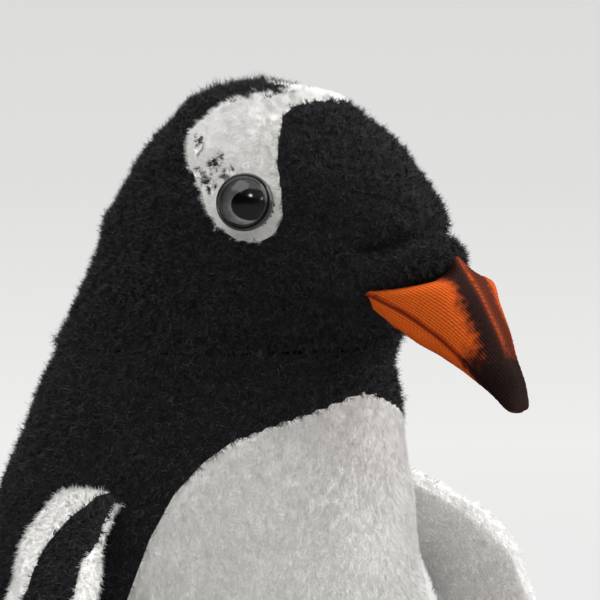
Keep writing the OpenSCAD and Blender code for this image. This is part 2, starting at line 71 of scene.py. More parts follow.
# height, centre y, half width, depth to the front, depth to the back, squeeze of the front
SECTIONS = np.array([
    [1.5, 0, 44, 44, 44.5, 0], [12, 1, 52.5, 51.5, 50.5, 0], [30, 2, 58, 57, 54, 0],
    [58, 2.5, 62, 61, 56, 0], [92, 3, 63, 62, 56, 0], [130, 3, 61, 60, 54, 0],
    [165, 3, 56, 54.5, 50.5, 0], [190, 2.5, 51, 49, 46.5, 0], [211, 0, 46, 44.5, 43.5, 0],
    [224, -2, 41.5, 41, 41.5, 0], [236, -4, 37.5, 38, 39, 0],
    [245, -6.5, 34.6, 38, 37.6, 0.05], [253, -10.5, 33, 45, 37.4, 0.25],
    [261, -15, 31.4, 49.5, 38.6, 0.42], [268, -17, 30.8, 45, 38, 0.3],
    [276, -18.6, 30, 36.5, 34.8, 0.12], [284.5, -18.6, 26.8, 28, 29, 0.05],
    [292, -17.4, 19.6, 20, 21.4, 0], [297.4, -15.8, 11.5, 12, 12.6, 0],
    [300, -14.8, 0.2, 0.2, 0.2, 0],
])
LAST = len(SECTIONS) - 1
NECK_SEAM = 243.6
# height, angle of the seam from the front
BELLY = np.array([[1.5, 50], [20, 62], [60, 74], [130, 75], [190, 72], [206, 67.5], [215, 63],
                  [221.4, 56.5], [225.7, 48.5], [229.6, 32], [233, 12], [234.6, 0]])
# angle from the front, height
BONNET_LOW = np.array([[0, 295.3], [24, 295], [37, 293.9], [47.5, 292.3], [53.5, 288],
                       [57, 282.8], [58.5, 277.7], [61, 272.2], [65, 268.5], [69.5, 266.8],
                       [75, 267.4], [81, 270], [85, 272.6], [89.5, 277.3], [95, 280.6],
                       [101, 283], [108, 289.5]])
BONNET_HIGH = np.array([[0, 297.9], [9, 298], [34, 296.8], [49, 297], [70, 297.3], [96, 296],
                        [103, 294], [108, 291]])
BONNET_END = 108
BEAK_TOP = np.array([[0, 264.2], [4, 263.6], [9, 260.9], [14.5, 259], [27, 257.6], [36, 257]])
BEAK_BOTTOM = np.array([[0, 248], [11, 249.8], [26, 252.7], [36, 256.4]])
BEAK_HALF_ANGLE = 36
CREASE = np.array([[0, 270.3], [23, 268], [40, 265]])
# y and z along the beak, from the face to the tip
RIDGE = np.array([[-67.6, 259.8], [-70.9, 255], [-73.7, 250], [-76.7, 243.8], [-79.5, 238],
                  [-80.4, 233.6]])
MOUTH = np.array([[-57.4, 253.2], [-62.8, 249.6], [-66.8, 246], [-71, 241.6], [-75.4, 236.8],
                  [-78.6, 232.8]])
KEEL = np.array([[-57.6, 244.8], [-63.8, 241.8], [-68.8, 239], [-72.8, 236.4], [-76.4, 233.8],
                 [-78.6, 232]])
BEAK_HALF_WIDTH = np.array([12.2, 10, 8, 6.2, 4.6, 3])
# front edge, rear edge, share of full thickness, for the left flipper
FLIPPER = np.array([
    [47.2, -11.5, 213, 49, 3, 212.8, 0.65], [57, -16.5, 210.5, 55, 4, 209, 0.8],
    [68.2, -22.5, 203.5, 62, 2, 204.4, 0.95], [77, -27, 195.5, 69.5, -1.5, 199, 1],
    [82.5, -28.5, 186, 77, -3.5, 190.5, 1], [89, -31, 172, 85, -5, 172, 0.95],
    [94, -31.5, 154, 90.5, -8, 153, 0.85], [97, -29, 138, 94.5, -12, 137, 0.7],
    [99, -24.5, 127, 97.6, -15.5, 126, 0.55], [99.4, -21.6, 122.6, 98.8, -18.6, 122.2, 0.4],
])
FLIPPER_T = 8
# share of the flipper's length, share of its width where the white band starts
BAND = np.array([[0, 0.7], [0.1, 0.72], [0.17, 0.54], [0.23, 0.43], [0.33, 0.32], [0.5, 0.28],
                 [1, 0.32]])
FOOT_X = 25
FOOT_T = 15
# half width, share of full thickness, y
FOOT = np.array([[9, 0.72, -51.5], [12.5, 0.95, -56], [16, 1, -63], [19.5, 0.86, -72],
                 [21.5, 0.62, -81], [20, 0.42, -89], [13, 0.25, -95]])
TAIL_T = 10
# half width, share of full thickness, y, z
TAIL = np.array([[17, 1, 59.4, 21.5], [16.5, 0.92, 64.5, 19], [14.5, 0.75, 72, 15.4],
                 [11, 0.55, 80, 11.4], [6, 0.36, 87, 8.2], [2.5, 0.3, 90, 7]])
EYE_HEIGHT = 275.2
EYE_ANGLE = 71.5
EYE_R = 6


def sin(degrees):
    return np.sin(np.radians(degrees))


def cos(degrees):
    return np.cos(np.radians(degrees))


def unit(v):
    return v / np.maximum(np.linalg.norm(v, axis=-1, keepdims=True), 1e-9)


def turns(count):
    """Angles of evenly spaced points round a ring."""
    return np.arange(count) * 360 / count


def lookup(x, table):
    return np.interp(x, table[:, 0], table[:, 1])


def along(table, h):
    """Points at h on the smooth curve through the rows of a table, h counting its rows."""
    table = np.asarray(table, float)
    n = len(table) - 1
    h = np.clip(np.asarray(h, float), 0, n)
    i = np.minimum(h.astype(int), n - 1)
    f = (h - i).reshape(h.shape + (1,) * (table.ndim - 1))
    padded = np.concatenate([[2 * table[0] - table[1]], table, [2 * table[n] - table[n - 1]]])
    a, b, c, d = (padded[i + k] for k in range(4))
    return 0.5 * (2 * b + (c - a) * f + (2 * a - 5 * b + 4 * c - d) * f**2
                  + (3 * b - a - 3 * c + d) * f**3)


FINE_H = np.linspace(0, LAST, 4001)
FINE_Z = np.maximum.accumulate(along(SECTIONS, FINE_H)[:, 0])


def station(z):
    """Where along SECTIONS a height is."""
    return np.interp(z, FINE_Z, FINE_H)


def skin(h, angle):
    """Points of the torso and head; angle 0 is the front and 90 the toy's left side."""
    h, angle = np.broadcast_arrays(h, angle)
    z, y, half, front, back, squeeze = np.moveaxis(along(SECTIONS, h), -1, 0)
    c = cos(angle)
    depth = np.where(c > 0, front, back)
    x = half * sin(angle) * (1 - squeeze * np.maximum(c, 0) ** 2)
    return np.stack([x, y - depth * c, z], -1)


def waves(points, wavelength, seed):
    """A smooth random field of about unit size, the same on every run."""
    count = 14
    rng = np.random.default_rng(seed)
    direction = unit(rng.normal(size=(count, 3)))
    pitch = 2 * np.pi / (wavelength * rng.uniform(0.7, 1.5, count))
    phase = rng.uniform(0, 2 * np.pi, count)
    return np.sin(points @ (direction * pitch[:, None]).T + phase).sum(-1) * (2 / count) ** 0.5


# ---- grids of rings


def resample(grid, rows, columns):
    """A finer grid on the smooth surface through a grid whose rings are closed."""
    n = grid.shape[1]
    lines = along(grid, np.linspace(0, len(grid) - 1, rows))
    wrapped = np.concatenate([lines[:, -3:], lines, lines[:, :4]], 1)
    at = 3 + np.arange(columns) * n / columns
    return np.swapaxes(along(np.swapaxes(wrapped, 0, 1), at), 0, 1)


def angles_of(grid):
    """The angle round the toy at each point of a grid whose rings start at the back."""
    return np.broadcast_to(turns(grid.shape[1]) - 180, grid.shape[:2])


def grid_normals(grid):
    """Unit normals of a grid of closed rings."""
    round_ring = np.roll(grid, -1, 1) - np.roll(grid, 1, 1)
    up = np.gradient(grid, axis=0)
    return unit(np.cross(round_ring, up))


def in_scene(name, data):
    made = bpy.data.objects.new(name, data)
    bpy.context.scene.collection.objects.link(made)
    return made


def grid_object(name, grid, ends=(True, True), cells=None, **fields):
    """A mesh of quads over a grid of closed rings, its open ends closed by a fan.

    cells, true or false for each quad, leaves the others out. fields are values for each vertex.
    """
    rows, columns = grid.shape[:2]
    index = np.arange(rows * columns).reshape(rows, columns)
    a, b = index[:-1], index[1:]
    quads = np.stack([a, np.roll(a, -1, 1), np.roll(b, -1, 1), b], -1)
    quads = quads.reshape(-1, 4) if cells is None else quads[cells]
    points, faces = [grid.reshape(-1, 3)], quads.tolist()
    for at_end, closed in enumerate(ends):
        if closed:
            ring = index[-1 if at_end else 0]
            centre = rows * columns + len(points) - 1
            points.append(grid[-1 if at_end else 0].mean(0)[None])
            pairs = zip(ring, np.roll(ring, -1)) if at_end else zip(np.roll(ring, -1), ring)
            faces += [[int(p), int(q), centre] for p, q in pairs]
    points = np.concatenate(points)
    used = np.unique(np.concatenate([np.ravel(face) for face in faces]))
    place = np.full(len(points), -1)
    place[used] = np.arange(len(used))
    mesh = bpy.data.meshes.new(name)
    mesh.from_pydata(points[used] * MM, [], [[int(place[v]) for v in face] for face in faces])
    mesh.polygons.foreach_set("use_smooth", [True] * len(mesh.polygons))
    for word, field in fields.items():
        values = np.append(np.broadcast_to(field, (rows, columns)).reshape(-1),
                           [field[0].mean(), field[-1].mean()])
        layer = mesh.attributes.new(word, "FLOAT", "POINT")
        layer.data.foreach_set("value", values[used].astype(np.float32))
    return in_scene(name, mesh)


def stuffed(name, grid, pinned, cap, fine, pressure=4.0):
    """A finer grid of the cloth, pushed out by filling and held at its pinned seams.

    cap is the furthest that a point may move, and fine the rows and columns to give.
    """
    piece = grid_object(name, grid)
    count = grid.shape[0] * grid.shape[1]
    group = piece.vertex_groups.new(name="seams")
    weights = np.zeros(len(piece.data.vertices))
    weights[:count] = pinned.reshape(-1)
    for i in np.flatnonzero(weights > 0.02):
        group.add([int(i)], float(weights[i]), "REPLACE")
    cloth = piece.modifiers.new("stuffing", "CLOTH").settings
    cloth.quality = 4
    cloth.mass = 0.15
    cloth.tension_stiffness = cloth.compression_stiffness = 12
    cloth.shear_stiffness = 4
    cloth.bending_stiffness = 0.4
    cloth.use_pressure = True
    cloth.uniform_pressure_force = pressure
    cloth.vertex_group_mass = "seams"
    cloth.effector_weights.gravity = 0
    scene = bpy.context.scene
    for step in range(1, 17):
        scene.frame_set(step)
    shown = piece.evaluated_get(bpy.context.evaluated_depsgraph_get()).to_mesh()
    found = np.zeros(len(shown.vertices) * 3)
    shown.vertices.foreach_get("co", found)
    scene.frame_set(1)
    bpy.data.objects.remove(piece)
    moved = found.reshape(-1, 3)[:count].reshape(grid.shape) / MM - grid
    size = np.linalg.norm(moved, axis=-1, keepdims=True)
    return resample(grid + moved * np.minimum(1, cap / np.maximum(size, 1e-6)), *fine)


# ---- materials


def material(name, colour, roughness=0.9, **sockets):
    """A Principled material; sockets are given as words with _ for spaces."""
    made = bpy.data.materials.new(name)
    made.use_nodes = True
    shader = made.node_tree.nodes["Principled BSDF"]
    shader.inputs["Base Color"].default_value = (*colour, 1)
    shader.inputs["Roughness"].default_value = roughness
    for word, value in sockets.items():
        shader.inputs[word.replace("_", " ")].default_value = value
    return made


def paint(tree, colour):
    tree.links.new(colour, tree.nodes["Principled BSDF"].inputs["Base Color"])


def feed(tree, socket, value):
    if isinstance(value, bpy.types.NodeSocket):
        tree.links.new(value, socket)
    else:
        socket.default_value = value


def add_node(tree, kind, **inputs):
    node = tree.nodes.new("ShaderNode" + kind)
    for word, value in inputs.items():
        feed(tree, node.inputs[word.replace("_", " ")], value)
    return node


def maths(tree, operation, *values, kind="Math"):
    node = add_node(tree, kind)
    node.operation = operation
    for socket, value in zip(node.inputs, values):
        feed(tree, socket, value)
    return node.outputs["Value"]


def place_of(tree):
    return add_node(tree, "TexCoord").outputs["Object"]


def field_of(tree, word):
    """The values that grid_object was given for a field."""
    node = add_node(tree, "Attribute")
    node.attribute_name = word
    return node.outputs["Fac"]


def noise(tree, per_mm, detail=2.0):
    return add_node(tree, "TexNoise", Vector=place_of(tree), Scale=per_mm / MM,
                    Detail=detail).outputs["Fac"]


def share_of(tree, value, low, high):
    """How far a value is from low to high, kept from 0 to 1."""
    node = add_node(tree, "MapRange", Value=value, From_Min=low, From_Max=high)
    return node.outputs[0]


def mixed(tree, share, first, second, blend="MIX"):
    """Two colours mixed."""
    node = add_node(tree, "Mix")
    node.data_type = "RGBA"
    node.blend_type = blend
    for socket, value in ((0, share), (6, first), (7, second)):
        feed(tree, node.inputs[socket], value)
    return node.outputs[2]


def bumpy(tree, height, strength, depth):
    bump = add_node(tree, "Bump", Strength=strength, Distance=depth * MM, Height=height)
    tree.links.new(bump.outputs["Normal"], tree.nodes["Principled BSDF"].inputs["Normal"])


def ramp(tree, value, stops):
    node = add_node(tree, "ValToRGB", Fac=value)
    while len(node.color_ramp.elements) < len(stops):
        node.color_ramp.elements.new(0.5)
    for element, (at, colour) in zip(node.color_ramp.elements, stops):
        element.position = at
        element.color = (*colour, 1)
    return node.outputs["Color"]


def nap(tree):
    """A fine lumpy surface under the fibres; gives the noise it is made of."""
    fine = noise(tree, 1.4, detail=3.0)
    bumpy(tree, maths(tree, "ADD", fine, noise(tree, 0.5)), 0.9, 0.7)
    return fine


def pile_cloth(name, dark, light):
    """The backing of plush: mottled colour and a fine lumpy nap."""
    made = material(name, light, 0.95, Specular_IOR_Level=0.15)
    tree = made.node_tree
    paint(tree, ramp(tree, nap(tree), [(0.3, dark), (0.7, light)]))
    return made


BLACK_DARK, BLACK_LIGHT = (0.003, 0.003, 0.004), (0.008, 0.008, 0.01)


def two_tone_cloth():
    """Black plush backing that turns white where the piece's field "white" is over a half."""
    made = material("plush_backing", (0.01, 0.01, 0.012), 0.95, Specular_IOR_Level=0.15)
    tree = made.node_tree
    fine = nap(tree)
    black = ramp(tree, fine, [(0.3, BLACK_DARK), (0.7, BLACK_LIGHT)])
    white = ramp(tree, fine, [(0.3, (0.8, 0.78, 0.75)), (0.7, (0.88, 0.865, 0.84))])
    share = ramp(tree, field_of(tree, "white"), [(0.47, (0, 0, 0)), (0.53, (1, 1, 1))])
    paint(tree, mixed(tree, share, black, white))
    return made


def fibre(name, shades, roughness=0.85):
    """Plain materials for fibres, one for each shade, so that a pile isn't one flat colour."""
    return [material(f"{name}_{i}", shade, roughness, Specular_IOR_Level=0.2)
            for i, shade in enumerate(shades)]


PLUSH_CLOTH = two_tone_cloth()
BLACK_CLOTH = pile_cloth("black_plush_backing", BLACK_DARK, BLACK_LIGHT)
BLACK_FIBRE = fibre("black_fibre", [(0.004, 0.004, 0.005), (0.011, 0.011, 0.012),
                                    (0.037, 0.037, 0.039)], 0.6)
WHITE_FIBRE = fibre("white_fibre", [(0.95, 0.935, 0.91), (0.97, 0.96, 0.94), (0.98, 0.97, 0.955)])
# a darker copy of the white fibre: painted shade, as the belly gets less light than the bonnet
PAINTED_SHADE_BELLY_FIBRE = fibre("belly_fibre_painted_shade", [(0.7, 0.682, 0.66), (0.74, 0.722, 0.697),
                                    (0.78, 0.762, 0.735)])
ORANGE_CLOTH = pile_cloth("orange_velour_backing", (0.28, 0.045, 0.006), (0.45, 0.075, 0.01))
ORANGE_FIBRE = fibre("orange_fibre", [(0.34, 0.055, 0.008), (0.48, 0.085, 0.012),
                                      (0.58, 0.13, 0.02)])


# ---- pile of the plush

TRIANGLES_PER_PIECE = 190_000
DENSITY = 1.0
ROOT_DEPTH = 0.15  # of a hair's foot under the backing
# roots for each square millimetre, where the pile is thickest
TORSO_ROOTS, HEAD_ROOTS, FLIPPER_ROOTS, SMALL_ROOTS = 15.0, 40.0, 7.0, 5.0


class Pile:
    """Roots of the pile on a grid of rings, spread evenly and at random."""

    def __init__(self, grid, per_mm2, seed, share=None):
        """per_mm2 is the density; share, from 0 to 1 at each cell, thins it out."""
        self.rng = np.random.default_rng(seed)
        a, b = grid[:-1], grid[1:]
        a2, b2 = np.roll(a, -1, 1), np.roll(b, -1, 1)
        area = np.linalg.norm(np.cross(b2 - a, a2 - b), axis=-1) / 2
        if share is not None:
            area = area * share
        total = area.sum()
        n = int(total * per_mm2 * DENSITY)
        cell = self.rng.choice(area.size, n, p=(area / total).reshape(-1))
        self.row, self.column = np.unravel_index(cell, area.shape)
        self.u, self.v = self.rng.random((2, n, 1))
        self.rows, self.columns = grid.shape[:2]
        self.root = self.read(grid)
        self.normal = unit(self.read(grid_normals(grid)))
        self.count = n

    def read(self, grid):
        """Values of a field on the grid at each root."""
        field = grid.reshape(self.rows, self.columns, -1)
        r, c, c2 = self.row, self.column, (self.column + 1) % self.columns
        low = field[r, c] * (1 - self.u) + field[r, c2] * self.u
        high = field[r + 1, c] * (1 - self.u) + field[r + 1, c2] * self.u
        return low * (1 - self.v) + high * self.v

    def keep(self, chosen):
        for word in ("row", "column", "u", "v", "root", "normal"):
            setattr(self, word, getattr(self, word)[chosen])
        self.count = len(self.root)

    def pick(self, chosen):
        """The chosen roots, as a pile of their own."""
        part = object.__new__(Pile)
        part.__dict__.update(self.__dict__)
        part.rng = np.random.default_rng(int(chosen.sum()))
        part.keep(chosen)
        return part

    def direction(self, lay, upright, curl, curl_size, stray, seed):
        """Directions: lay is combed along the cloth, curl clumps the tips, stray scatters them."""
        flat = lay - (lay * self.normal).sum(-1, keepdims=True) * self.normal
        clump = np.stack([waves(self.root, curl_size, seed + k) for k in range(3)], -1)
        scatter = self.rng.normal(size=(self.count, 3))
        way = self.normal * upright + flat + clump * curl + scatter * stray
        lift = (way * self.normal).sum(-1, keepdims=True)
        return unit(way + self.normal * np.maximum(0, 0.15 - lift))


def fibre_pieces(name, corners, faces, shade, materials, soft=None):
    """Meshes of many alike fibres: corners is (fibre, corner, xyz).

    soft gives each fibre one direction to be lit from, as the cloth under it is.
    """
    made = []
    per, faces = corners.shape[1], np.array(faces)
    batch = TRIANGLES_PER_PIECE // len(faces)
    for k, start in enumerate(range(0, len(corners), batch)):
        part = corners[start:start + batch]
        n = len(part)
        mesh = bpy.data.meshes.new(f"{name}_{k}")
        mesh.vertices.add(n * per)
        mesh.vertices.foreach_set("co", (part * MM).astype(np.float32).ravel())
        loops = (faces[None] + np.arange(n)[:, None, None] * per).reshape(-1)
        mesh.loops.add(len(loops))
        mesh.loops.foreach_set("vertex_index", loops.astype(np.int32))
        mesh.polygons.add(len(loops) // 3)
        mesh.polygons.foreach_set("loop_start", np.arange(0, len(loops), 3, dtype=np.int32))
        mesh.polygons.foreach_set(
            "material_index",
            np.repeat(shade[start:start + batch], len(faces)).astype(np.int32))
        mesh.polygons.foreach_set("use_smooth", np.ones(len(loops) // 3, bool))
        for m in materials:
            mesh.materials.append(m)
        mesh.update(calc_edges=True)
        if soft is not None:
            lit = np.repeat(soft[start:start + batch], per, 0)
            mesh.normals_split_custom_set_from_vertices(lit.tolist())
        made.append(in_scene(f"{name}_{k}", mesh))
    return made


def across(way, rng):
    """Unit vectors at right angles to way, turned about it at random."""
    return unit(np.cross(way, unit(rng.normal(size=way.shape))))


def straight_hairs(name, pile, way, length, radius, materials, seed):
    """Fine tapering hairs with three sides."""
    rng = np.random.default_rng(seed)
    n = pile.count
    long = (length * rng.uniform(0.6, 1.15, n))[:, None]
    side = across(way, rng) * (radius * rng.uniform(0.8, 1.2, n))[:, None]
    other = np.cross(way, side)
    root = pile.root - pile.normal * ROOT_DEPTH
    corners = [root + side * cos(turn) + other * sin(turn) for turn in (0, 120, 240)]
    corners = np.stack([*corners, root + way * long], 1)
    faces = [[0, 1, 3], [1, 2, 3], [2, 0, 3]]
    soft = unit(pile.normal + 0.12 * rng.normal(size=(n, 3)))
    return fibre_pieces(name, corners, faces, rng.choice(len(materials), n), materials, soft)


def curly_hairs(name, pile, way, length, radius, materials, seed):
    """Fine flat hairs that bend twice on their way to the tip."""
    rng = np.random.default_rng(seed)
    n = pile.count
    long = (length * rng.uniform(0.6, 1.2, n))[:, None] / 3
    turn = across(way, rng) * 0.7
    second = unit(way + turn)
    third = unit(way + turn * 2.2 + rng.normal(size=(n, 3)) * 0.3)
    side = across(way, rng) * (radius * rng.uniform(0.8, 1.25, n))[:, None]
    root = pile.root - pile.normal * ROOT_DEPTH
    low = root + way * long
    high = low + second * long
    corners = np.stack([root - side, root + side, low - side, low + side,
                        high - side * 0.7, high + side * 0.7, high + third * long], 1)
    faces = [[0, 1, 3], [0, 3, 2], [2, 3, 5], [2, 5, 4], [4, 5, 6]]
    return fibre_pieces(name, corners, faces, rng.choice(len(materials), n), materials)


# ---- torso and head

INSET = 1.3  # the pile stands this far out from its backing, up to the CAD surface
# rows and columns before and after the filling has pushed the cloth out
TORSO_COARSE, TORSO_FINE = (66, 112), (250, 336)
HEAD_COARSE, HEAD_FINE = (40, 96), (160, 336)
WAIST = 52  # radius used for distances round the torso
NECK_FOLD = 239.8  # height of the soft fold under the neck seam
SEAM_GAP = 0.12  # each side of the neck seam, so that the head can turn


def near(distance, width):
    """1 on a seam, falling smoothly to 0 at a width away."""
    return np.exp(-((distance / width) ** 2))


def belly_distance(grid_z, angle):
    """Distance from the seam of the belly panel, along the cloth, negative on the belly."""
    beside = (np.abs(angle) - lookup(grid_z, BELLY)) * np.pi / 180 * WAIST
    over = grid_z - BELLY[-1, 0]
    return np.maximum(beside, over)


def bonnet_distance(z, angle):
    """How far outside the bonnet a place is, by height and angle; negative inside it."""
    a = np.abs(angle)
    below = lookup(a, BONNET_LOW) - z
    above = z + 0.8 * np.clip((a - 35) / 15, 0, 1) - lookup(a, BONNET_HIGH)
    behind = (a - BONNET_END) * 0.4
    return np.maximum(np.maximum(below, above), behind)


def crease_distance(z, angle):
    """Height above the crease between muzzle and forehead."""
    return z - lookup(np.abs(angle), CREASE)


def torso_grid():
    """The torso's backing, from the middle of its base up to the neck seam."""
    rows, columns = TORSO_COARSE
    h = station(np.linspace(SECTIONS[0, 0], NECK_SEAM, rows))
    rings = skin(h[:, None], (turns(columns) - 180)[None])
    floor = [rings[0] * [share, share, 0] + [0, 0, 0.6] for share in (0.3, 0.7, 0.97)]
    return np.concatenate([floor, rings])


def head_grid():
    """The head's backing, from the neck seam up to the crown."""
    rows, columns = HEAD_COARSE
    z = NECK_SEAM + 0.1 + (SECTIONS[-1, 0] - NECK_SEAM) * sin(np.linspace(0, 89.5, rows))
    return skin(station(z)[:, None], (turns(columns) - 180)[None])


def tucked(ring, rise):
    """Rings that turn in from a neck seam, to close the cloth out of sight."""
    middle = ring.mean(0)
    return [middle + (ring - middle) * share + Z * rise * lift
            for share, lift in ((0.965, 0.1), (0.75, 1))]


def inset(grid, depth, skip_low=0):
    moved = grid - grid_normals(grid) * depth
    moved[:skip_low] = grid[:skip_low]
    return moved


def make_torso():
    coarse = inset(torso_grid(), INSET, skip_low=3)
    z, angle = coarse[..., 2], angles_of(coarse)
    pinned = near(belly_distance(z, angle), 2.5) + near(np.abs(angle) - 180, 3)
    pinned = np.clip(pinned + near(z - NECK_SEAM, 3) + (z < 1.4), 0, 1)
    fine = stuffed("torso_sim", coarse, pinned, 2.2, TORSO_FINE)
    z, angle = fine[..., 2], angles_of(fine)
    body = np.clip((z - 4) / 12, 0, 1) * np.clip((NECK_SEAM - z) / 6, 0, 1)
    lumps = 0.4 * waves(fine, 38, 1) + 0.1 * waves(fine, 15, 2)
    groove = 0.6 * near(belly_distance(z, angle), 1.3) + 0.5 * near(180 - np.abs(angle), 2)
    fold = 0.5 * near(z - NECK_FOLD - 0.8 * waves(fine, 30, 3), 1.7)
    fine = fine + grid_normals(fine) * ((lumps - groove) * body - fold)[..., None]
    fine[..., 2] = np.minimum(fine[..., 2], NECK_SEAM - SEAM_GAP)
    return np.concatenate([fine, tucked(fine[-1], -1.5)])


def make_head():
    coarse = inset(head_grid(), INSET)
    z, angle = coarse[..., 2], angles_of(coarse)
    crease = np.where(np.abs(angle) < 40, crease_distance(z, angle), 9)
    pinned = near(z - NECK_SEAM, 2.5) + near(crease, 1.5) + near(bonnet_distance(z, angle), 1.2)
    pinned += near(np.maximum(np.abs(angle) - BEAK_HALF_ANGLE, 0) + np.maximum(z - 258, 0), 2)
    pinned = np.clip(pinned + (z > 296), 0, 1)
    fine = stuffed("head_sim", coarse, pinned, 1.6, HEAD_FINE)
    z, angle = fine[..., 2], angles_of(fine)
    lumps = 0.3 * waves(fine, 22, 5) + 0.2 * waves(fine, 9, 6)
    lumps = lumps * np.clip((299 - z) / 4, 0, 1) * np.clip((z - NECK_SEAM) / 5, 0, 1)
    side = np.clip((46 - np.abs(angle)) / 6, 0, 1)
    crease = crease_distance(z, angle)
    groove = 3.2 * near(crease, 1.7) * side
    bulge = 0.9 * near(crease + 4.6, 3.4) * side
    fine = fine + grid_normals(fine) * (lumps + bulge - groove)[..., None]
    for toy_side in (-1, 1):
        fine = dimpled(fine, *eye_frame(toy_side))
    fine[..., 2] = np.maximum(fine[..., 2], NECK_SEAM + SEAM_GAP)
    return np.concatenate([tucked(fine[0], 1.5)[::-1], fine])


def from_axis(points, centre, out):
    """Distances along a line through the centre, and away from that line."""
    offset = points - centre
    deep = offset @ out
    return deep, np.linalg.norm(offset - deep[..., None] * out, axis=-1)


def dimpled(grid, centre, out):
    """The cloth pulled in under the rim of an eye."""
    deep, beside = from_axis(grid, centre, out)
    level = -0.8 + 0.7 * np.maximum(beside - EYE_R, 0)
    excess = np.where((np.abs(deep) < 6) & (beside < 11), np.maximum(deep - level, 0), 0)
    return grid - excess[..., None] * out


def eye_frame(side):
    """Centre of an eye on the skin and its outward direction, side +1 on the toy's left."""
    h, a, little = station(EYE_HEIGHT), EYE_ANGLE, 0.02
    up = skin(h + little, a) - skin(h - little, a)
    out = unit(np.cross(skin(h, a + 1) - skin(h, a - 1), up))
    flip = np.array([side, 1, 1])
    return skin(h, a) * flip, out * flip


def eye_gap(points):
    """Distance from the nearer eye's centre."""
    gaps = []
    for side in (-1, 1):
        deep, beside = from_axis(points, *eye_frame(side))
        gaps.append(np.where(np.abs(deep) < 5, beside, 99))
    return np.minimum(*gaps)


# Black speckles on the bonnet: height, angle, half height, half width in mm, tilt
SPECKLES = [[286.4, 96.5, 1.4, 0.9, 0.3], [287.8, 100.5, 0.6, 0.7, 0],
            [283.4, 84.8, 0.9, 1.8, -0.6], [281.1, 85.2, 0.7, 0.8, 0], [278.7, 87, 1.6, 0.9, 0.7],
            [281.6, 77, 0.4, 1.2, -0.3], [280, 79.6, 0.6, 0.6, 0], [281, 93.5, 0.9, 0.7, 0]]


def speckled(points, z, angle):
    """True in the black speckles printed on the white bonnet."""
    inside = np.zeros(len(z), bool)
    jitter = 0.35 * waves(points, 2.2, 31)
    for height, at, tall, wide, tilt in SPECKLES:
        dz = z - height
        over = (np.abs(angle) - at) * np.pi / 180 * 28 - tilt * dz
        inside |= (dz / tall) ** 2 + (over / wide) ** 2 < 2 + jitter
    return inside


def in_beak(z, angle, margin):
    """True where the beak is sewn on, and for a margin round it."""
    a = np.abs(angle)
    low, high = lookup(a, BEAK_BOTTOM) - margin, lookup(a, BEAK_TOP) + margin
    return (a < BEAK_HALF_ANGLE + margin * 2) & (z > low) & (z < high)


def show(piece, look):
    piece.data.materials.append(look)
    return piece


def two_tone(word, grid, inside, kept=True):
    """Black and white cloth on one grid; inside is the distance within the white in mm.

    kept is false for quads that are cut away.
    """
    white = 0.5 + np.clip(inside, -1, 1) / 2
    ahead = np.roll(white, -1, 1)
    pale = white[:-1] + white[1:] + ahead[:-1] + ahead[1:] > 2
    black = grid_object(f"{word}_black_cloth", grid, cells=~pale & kept, white=white)
    bright = grid_object(f"{word}_white_cloth", grid, (False, False), pale & kept, white=white)
    return [show(black, PLUSH_CLOTH),
            show(bright, PLUSH_CLOTH)]


TORSO, HEAD = make_torso(), make_head()
TORSO_ANGLE, HEAD_ANGLE = angles_of(TORSO), angles_of(HEAD)


def on_neck(piece):
    """Bakes the piece's transform into its mesh."""
    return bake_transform(piece)


def round_angle(pile, angle):
    """The angle round the toy at each root."""
    around = pile.read(np.stack([sin(angle), cos(angle)], -1))
    return np.degrees(np.arctan2(around[:, 0], around[:, 1]))


def build_torso():
    cloths = two_tone("body", TORSO, -belly_distance(TORSO[..., 2], TORSO_ANGLE))
    for piece in cloths:
        on_neck(piece)
    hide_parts("right_side_panel", "left_side_panel", "base_panel", "body_stuffing",
                "pellet_pouch", "neck_stuffing", "neck_cloth", "closing_seam",
                "right_shoulder_tab", "left_shoulder_tab")
    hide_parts("belly_panel")
    low = TORSO[:-1, :, 2]
    thin = np.clip((low - 150) / 40, 0.26, 1) * (low > 2)
    thin[-2:] = 0
    middle = belly_distance(low, TORSO_ANGLE[:-1]) < 0
    pile = Pile(TORSO, TORSO_ROOTS, 11, share=thin * np.where(middle & (low > 165), 1, 0.6))
    edge = belly_distance(pile.root[:, 2], round_angle(pile, TORSO_ANGLE))
    is_white = edge + 0.3 * waves(pile.root, 3.5, 21) + 0.15 * waves(pile.root, 1.2, 26) < 0
    sideways = waves(pile.root, 18, 22)[:, None] * X
    wide = np.clip((200 - pile.root[:, 2]) / 40, 0, 1)
    for name, chosen in (("belly", is_white), ("back", ~is_white)):
        part = pile.pick(chosen)
        lay, thick = -Z + 0.2 * sideways[chosen], wide[chosen]
        if name == "belly":
            way = part.direction(lay * 1.2, 0.65, 0.1, 3.0, 0.12, 41)
            made = straight_hairs("belly_pile", part, way, 1.8, 0.04 + 0.055 * thick,
                                  PAINTED_SHADE_BELLY_FIBRE, 51)
        else:
            at_seam = near(part.root[:, 2:] - NECK_SEAM, 2.5)
            way = part.direction(lay * (0.5 - at_seam), 0.8, 0.7, 2.0, 0.22, 42)
            long = 2.0 + 0.4 * waves(part.root, 2.6, 43)
            made = curly_hairs("back_pile", part, way, long, 0.05 + 0.055 * thick,
                               BLACK_FIBRE, 52)
        for tuft in made:
            on_neck(tuft)


